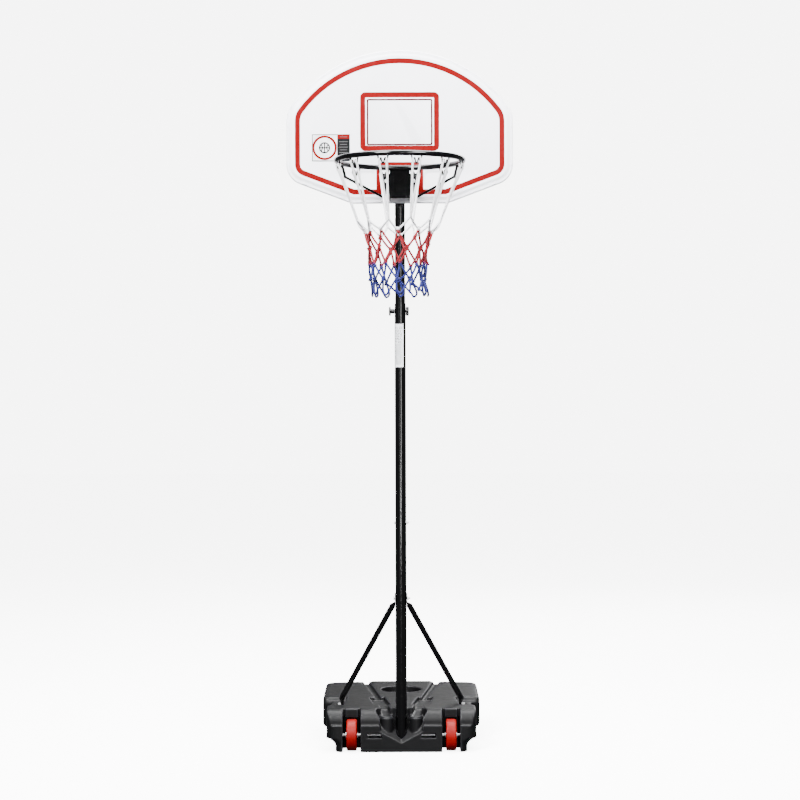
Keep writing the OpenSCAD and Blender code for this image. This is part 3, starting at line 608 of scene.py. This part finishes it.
def build_board_sign():
    """A plain printed sign: a ring round a ball, beside a dark block with a red head and plain bars."""
    lo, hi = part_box("board_sticker")
    split = lo.x + 0.0792
    back, front = lo.y + 0.0001, lo.y - 0.00015
    line = 0.0026
    edges = [bar(lo.x, lo.z, split, lo.z + line, front, back),
             bar(lo.x, hi.z - line, split, hi.z, front, back),
             bar(lo.x, lo.z, lo.x + line, hi.z, front, back)]
    decal("sign_edges", edges, "sign_black")
    cx, cz = (lo.x + split) / 2, (lo.z + hi.z) / 2
    decal("sign_ring", [annulus(cx, cz, 0.0387, 0.0315, front, back)], "red_print")
    ball, seam = 0.0175, 0.0036
    parts = [annulus(cx, cz, ball, ball - 0.0042, front, back, 32),
             bar(cx - ball, cz - seam / 2, cx + ball, cz + seam / 2, front, back),
             bar(cx - seam / 2, cz - ball, cx + seam / 2, cz + ball, front, back)]
    for side in (-1, 1):
        curve = []
        for k in range(9):
            a = math.radians(-52 + 13 * k)
            curve.append((cx + side * (0.0205 - 0.0135 * math.cos(a)), cz + 0.0138 * math.sin(a)))
        outline = [(x - seam / 2, z) for x, z in curve] + [(x + seam / 2, z) for x, z in reversed(curve)]
        parts.append(plate(outline, front, back))
    decal("sign_ball", parts, "sign_black")
    head = 0.0145
    decal("sign_block", [bar(split, lo.z, hi.x, hi.z - head, front, back)], "sign_black")
    decal("sign_head", [bar(split, hi.z - head, hi.x, hi.z, front, back)], "red_print")
    # each bar: how far below the top it starts, its height, and its inset at both ends
    rows = [(0.0092, 0.0018, 0.008)]
    rows += [(0.0245 + 0.0085 * k, 0.0019, 0.006 + 0.003 * (k % 2)) for k in range(6)]
    parts = [bar(split + inset, hi.z - drop, hi.x - inset, hi.z - drop + tall, front - 0.0001, back)
             for drop, tall, inset in rows]
    decal("sign_bars", parts, "sign_grey")


def build_pole_label_bars():
    """Plain bars and dots printed on the label that wraps the pole."""
    lo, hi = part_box("pole_label")
    inner, outer = POLE_R + 0.0002, POLE_R + 0.00036
    rng = random.Random(7)

    def patch(a0, a1, z0, z1):
        steps = max(2, int(abs(a1 - a0) / 6))
        angles = [math.radians(a0 + (a1 - a0) * k / steps) for k in range(steps + 1)]
        rim = [(math.sin(a), -math.cos(a)) for a in angles]
        section = [(x * outer, y * outer) for x, y in rim]
        section += [(x * inner, y * inner) for x, y in reversed(rim)]
        return loft([[Vector((x, y, z)) for x, y in section] for z in (z0, z1)])

    strong, pale = [], []
    z = hi.z - 0.009
    while z > hi.z - 0.058:
        tall = rng.uniform(0.0016, 0.0032)
        a = -98 + rng.uniform(0, 6)
        while a < 12:
            wide = rng.uniform(8, 26)
            strong.append(patch(a, min(a + wide, 16), z - tall, z))
            a += wide + rng.uniform(5, 12)
        z -= tall + rng.uniform(0.0022, 0.0036)
    while z > lo.z + 0.008:
        pale.append(patch(-98, 10 + rng.uniform(-4, 4), z - 0.0013, z))
        z -= 0.0029
    prints = (("label_marks", strong, "label_ink"), ("label_rows", pale, "label_pale_ink"))
    for name, shapes, material in prints:
        obj = new_object(name, *joined(shapes))
        tidy(obj)
        dress(obj, material)
        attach(obj, NODES["pole_label"]["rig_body"])


build_board()
build_board_sign()
build_pole_label_bars()


# ---------------------------------------------------------------- net

CORD_R = 0.0031
HOOK_ANGLES = [15 + 30 * k for k in range(12)]
COLUMNS = len(HOOK_ANGLES)


def on_net(radius, z, angle_deg, tangential=0.0):
    """A point on the net: angle 0 faces the player and runs towards +X."""
    a = math.radians(angle_deg)
    return Vector((RIM.x + radius * math.sin(a) + tangential * math.cos(a),
                   RIM.y - radius * math.cos(a) + tangential * math.sin(a), z))


# Each row of crossings, from the top down: radius, height below the rim's underside, whether it hangs
# half a column over from the hooks, how far the net has twisted there, and how far it hangs to the left.
ROWS = [(0.130, 0.176, 0, 0, -0.002), (0.103, 0.209, 1, 0, -0.003), (0.091, 0.256, 0, 3, -0.004),
        (0.084, 0.303, 1, 7, -0.006), (0.080, 0.350, 0, 11, -0.007)]


def net_lattice():
    rng = random.Random(11)
    rows = []
    for radius, drop, half, twist, lean in ROWS:
        row = []
        for k in range(COLUMNS):
            angle = HOOK_ANGLES[k] + 15 * half + twist + rng.uniform(-3.2, 3.2)
            near_radius = radius + rng.uniform(-0.003, 0.003)
            z = RIM_UNDER - drop + rng.uniform(-0.006, 0.006)
            place_at = on_net(near_radius, z, angle)
            row.append(place_at + Vector((lean, 0, 0)))
        rows.append(row)
    return rows


def bowed(a, b, inward=0.0, sag=0.0, steps=8):
    """A strand from a to b that bellies towards the net's axis and hangs a little."""
    out = []
    for i in range(steps + 1):
        t = i / steps
        p = a.lerp(b, t)
        w = 4 * t * (1 - t)
        axis = Vector((RIM.x, RIM.y, p.z))
        p = p + (axis - p).normalized() * inward * w
        p.z -= sag * w
        out.append(p)
    return out


def knot(tubes, centre, axis, radius=0.0034, wraps=2):
    """A small overhand knot: a few turns of cord round the crossing."""
    outward = (centre - Vector((RIM.x, RIM.y, centre.z))).normalized()
    side = axis.cross(outward).normalized()
    points = []
    turns = 14
    for i in range(wraps * turns + 1):
        a = 2 * math.pi * i / turns
        lift = (i / (wraps * turns) - 0.5) * CORD_R * 2 * wraps
        points.append(centre + outward * math.cos(a) * radius + side * math.sin(a) * radius + axis * lift)
    tubes.add(points, CORD_R * 0.95)


def build_net():
    rng = random.Random(4)
    tubes = Tubes(8)
    rows = net_lattice()
    down = Vector((0, 0, -1))
    for k in range(COLUMNS):
        for side in (-1, 1):
            start = on_net(RIM_R, RIM_UNDER - 0.0155, HOOK_ANGLES[k], side * 0.0115)
            tubes.add(bowed(start, rows[0][k], rng.uniform(-0.001, 0.002), 0.0, 10), CORD_R)
            loop = [start + Vector((0, 0, 0.0035)) + on_net(0.003 * math.cos(a), 0, HOOK_ANGLES[k])
                    - Vector((RIM.x, RIM.y, 0)) + Vector((0, 0, 0.004 * math.sin(a)))
                    for a in [2 * math.pi * i / 12 for i in range(12)]]
            tubes.add(loop, CORD_R * 0.9, closed=True)
    for level in range(1, len(ROWS)):
        above, below, half = rows[level - 1], rows[level], ROWS[level][2]
        for k in range(COLUMNS):
            feet = (k, k - 1) if half else (k, k + 1)
            for foot in feet:
                path = bowed(above[k], below[foot % COLUMNS], rng.uniform(-0.004, 0.004), 0.002)
                tubes.add(path, CORD_R)
    loose = (2, 3)  # the one crossing below the top row that isn't knotted
    for level, row in enumerate(rows):
        for k, centre in enumerate(row):
            if level == 0 or (level, k) == loose:
                continue
            tilt = Vector((rng.uniform(-0.5, 0.5), rng.uniform(-0.5, 0.5), 1)).normalized()
            knot(tubes, centre, tilt, 0.0027 + rng.uniform(0, 0.0008))
    last = rows[-1]
    for k in range(COLUMNS):
        a, b = last[k], last[(k + 1) % COLUMNS]
        low = NET_BOTTOM + CORD_R + rng.uniform(0.0, 0.006)
        angle = HOOK_ANGLES[k] + 15
        bottom = on_net(0.083, low, angle)
        left = on_net(0.084, low + 0.012, angle - 7)
        right = on_net(0.084, low + 0.012, angle + 7)
        if k == 0:
            end_a = on_net(0.086, low + 0.004, HOOK_ANGLES[k] + 4)
            end_b = on_net(0.087, low + 0.010, HOOK_ANGLES[k] + 24)
            for top, end in ((a, end_a), (b, end_b)):
                tubes.add(spline([top, top.lerp(end, 0.55) + Vector((0.002, 0, 0)), end], 6), CORD_R)
                knot(tubes, end + Vector((0, 0, 0.003)), down, 0.0018, 1)
            continue
        tubes.add(spline([a, left, bottom, right, b], 6), CORD_R)
    net = tubes.build("net_cords")
    dress(net, "net_white")
    place(net, "net_upper", "net_middle", "net_lower")


build_net()


# ---------------------------------------------------------------- hooks

def build_hooks():
    wire = 0.0024
    half = [(-0.0155, 0.004), (-0.0150, -0.001), (-0.0128, -0.009), (-0.0112, -0.0140), (-0.0094, -0.0115),
            (-0.0074, -0.0062), (-0.0052, -0.0085), (-0.0026, -0.0185)]
    shape = half + [(0.0, -0.0212)] + [(-x, z) for x, z in reversed(half)]
    tubes = Tubes(8)
    for angle in HOOK_ANGLES:
        points = [on_net(RIM_R - x * x / (2 * RIM_R), RIM_UNDER + z, angle, x) for x, z in shape]
        tubes.add(spline(points, 4), wire)
    hooks = tubes.build("net_hook_wires")
    dress(hooks, "rim_paint")
    place(hooks, "net_hooks")


build_hooks()


# ---------------------------------------------------------------- tank

def outer_skin(obj, neck, neck_r, inside):
    """Drops the cavity's faces, found from a point inside, and closes the neck where it opens into them."""
    mesh = bmesh.new()
    mesh.from_mesh(obj.data)
    bmesh.ops.remove_doubles(mesh, verts=mesh.verts, dist=1e-6)
    mesh.faces.ensure_lookup_table()
    down = Vector((0, 0, -1))

    def in_neck(face):
        centre = face.calc_center_median()
        return math.hypot(centre.x - neck.x, centre.y - neck.y) < neck_r

    start = mesh.faces[BVHTree.FromBMesh(mesh).ray_cast(inside, down)[2]]
    seen, stack = {start}, [start]
    while stack:
        for edge in stack.pop().edges:
            for face in edge.link_faces:
                if face not in seen and not in_neck(face):
                    seen.add(face)
                    stack.append(face)
    bmesh.ops.delete(mesh, geom=list(seen), context="FACES")
    bmesh.ops.holes_fill(mesh, edges=[e for e in mesh.edges if e.is_boundary], sides=0)
    mesh.to_mesh(obj.data)
    mesh.free()


def melt(obj, rounds):
    """Laplacian smoothing by rounds of (iterations, weight of a vertex from its place)."""
    mesh = obj.data
    count = len(mesh.vertices)
    co = np.empty(count * 3)
    mesh.vertices.foreach_get("co", co)
    co = co.reshape(-1, 3)
    ends = np.empty(len(mesh.edges) * 2, dtype=np.int64)
    mesh.edges.foreach_get("vertices", ends)
    a, b = ends[0::2], ends[1::2]
    degree = np.bincount(ends, minlength=count)
    for iterations, weigh in rounds:
        weight = (0.5 * weigh(co))[:, None]
        for _ in range(iterations):
            total = np.empty_like(co)
            for axis in range(3):
                total[:, axis] = np.bincount(a, co[b, axis], count) + np.bincount(b, co[a, axis], count)
                total[:, axis] /= degree
            co = co + weight * (total - co)
    mesh.vertices.foreach_set("co", co.ravel())
    mesh.update()


def build_tank():
    """The blow-moulded shell: the CAD shell with soft edges all over, and rounder ones at its rear lobes."""
    obj = copy_of("base_tank", "tank_shell")
    seal_lo, seal_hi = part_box("cap_seal")
    neck = (seal_lo + seal_hi) / 2
    outer_skin(obj, neck, 0.014, Vector((0.1, 0.2, 0.03)))
    remesh = obj.modifiers.new("remesh", "REMESH")
    remesh.mode = "VOXEL"
    remesh.voxel_size = 0.0022
    apply_modifiers(obj)

    def everywhere(co):
        return np.ones(len(co))

    def lobes(co):
        rear = np.clip((co[:, 1] - 0.17) / 0.04, 0, 1)
        outer = np.clip((np.abs(co[:, 0]) - 0.172) / 0.03, 0, 1)
        above = np.clip((co[:, 2] - 0.02) / 0.02, 0, 1)
        return rear * outer * above

    def shoulders(co):
        outer = np.clip((np.abs(co[:, 0]) - 0.200) / 0.02, 0, 1)
        above = np.clip((co[:, 2] - 0.094) / 0.012, 0, 1)
        return outer * above

    melt(obj, [(3, everywhere), (36, lobes), (8, shoulders)])
    thin = obj.modifiers.new("thin", "DECIMATE")
    thin.ratio = 0.22
    apply_modifiers(obj)
    obj.data.polygons.foreach_set("use_smooth", [True] * len(obj.data.polygons))
    dress(obj, "tank_plastic")
    place(obj, "base_tank")


build_tank()


# ---------------------------------------------------------------- studio

def area_light(name, place_at, target, size, power, spread=180, color=(1, 1, 1)):
    data = bpy.data.lights.new(name, "AREA")
    data.shape = "RECTANGLE"
    data.size, data.size_y = size
    data.energy = power
    data.color = color
    data.spread = math.radians(spread)
    lamp = bpy.data.objects.new(name, data)
    bpy.context.scene.collection.objects.link(lamp)
    lamp.location = place_at
    lamp.rotation_euler = (Vector(target) - Vector(place_at)).to_track_quat("-Z", "Y").to_euler()
    lamp.visible_camera = False


def build_backdrop():
    """A pale floor and a pale dome, which the camera sees and which throw no light on the object."""
    floor = new_object("floor", [(-30, -30, 0), (30, -30, 0), (30, 30, 0), (-30, 30, 0)], [[0, 1, 2, 3]])
    floor.data.materials.append(Shader("floor", (0.8, 0.8, 0.8), 0.9, Emission_Color=(1, 1, 1, 1),
                                       Emission_Strength=6.7, Specular_IOR_Level=0.0).mat)
    mesh = bmesh.new()
    bmesh.ops.create_uvsphere(mesh, u_segments=48, v_segments=24, radius=42)
    dome = new_object("dome", [], [])
    mesh.to_mesh(dome.data)
    mesh.free()
    dome.data.materials.append(Shader("dome", (0, 0, 0), 1.0, Emission_Color=(1, 1, 1, 1),
                                      Emission_Strength=7.0, Specular_IOR_Level=0.0).mat)
    for obj in (floor, dome):
        obj.visible_diffuse = False
        obj.visible_glossy = False
    dome.visible_shadow = False


def build_studio():
    build_backdrop()
    world = bpy.data.worlds.new("studio")
    world.use_nodes = True
    world.node_tree.nodes["Background"].inputs["Color"].default_value = (0.96, 0.98, 1, 1)
    world.node_tree.nodes["Background"].inputs["Strength"].default_value = 0.14
    bpy.context.scene.world = world
    area_light("top", (0, 0.4, 5.2), (0, 0.3, 0), (3.6, 3.6), 1050)
    area_light("key", (-2.3, -3.9, 4.5), (0, -0.1, 1.9), (1.8, 1.8), 300, 80)
    area_light("fill", (2.5, -3.9, 4.3), (0, -0.1, 1.9), (1.8, 1.8), 210, 90)
    area_light("streak", (1.45, -4.9, 1.9), (0, 0, 1.4), (0.9, 2.4), 95)
    area_light("faint_streak", (-1.9, -4.6, 1.5), (0, 0, 1.1), (0.35, 2.6), 12)
    area_light("low", (0.3, -5.4, 0.5), (0, 0, 0.06), (0.5, 0.3), 36)
    area_light("rear", (1.8, 4.6, 3.4), (0, 0, 1.0), (2.4, 2.4), 240)


build_studio()
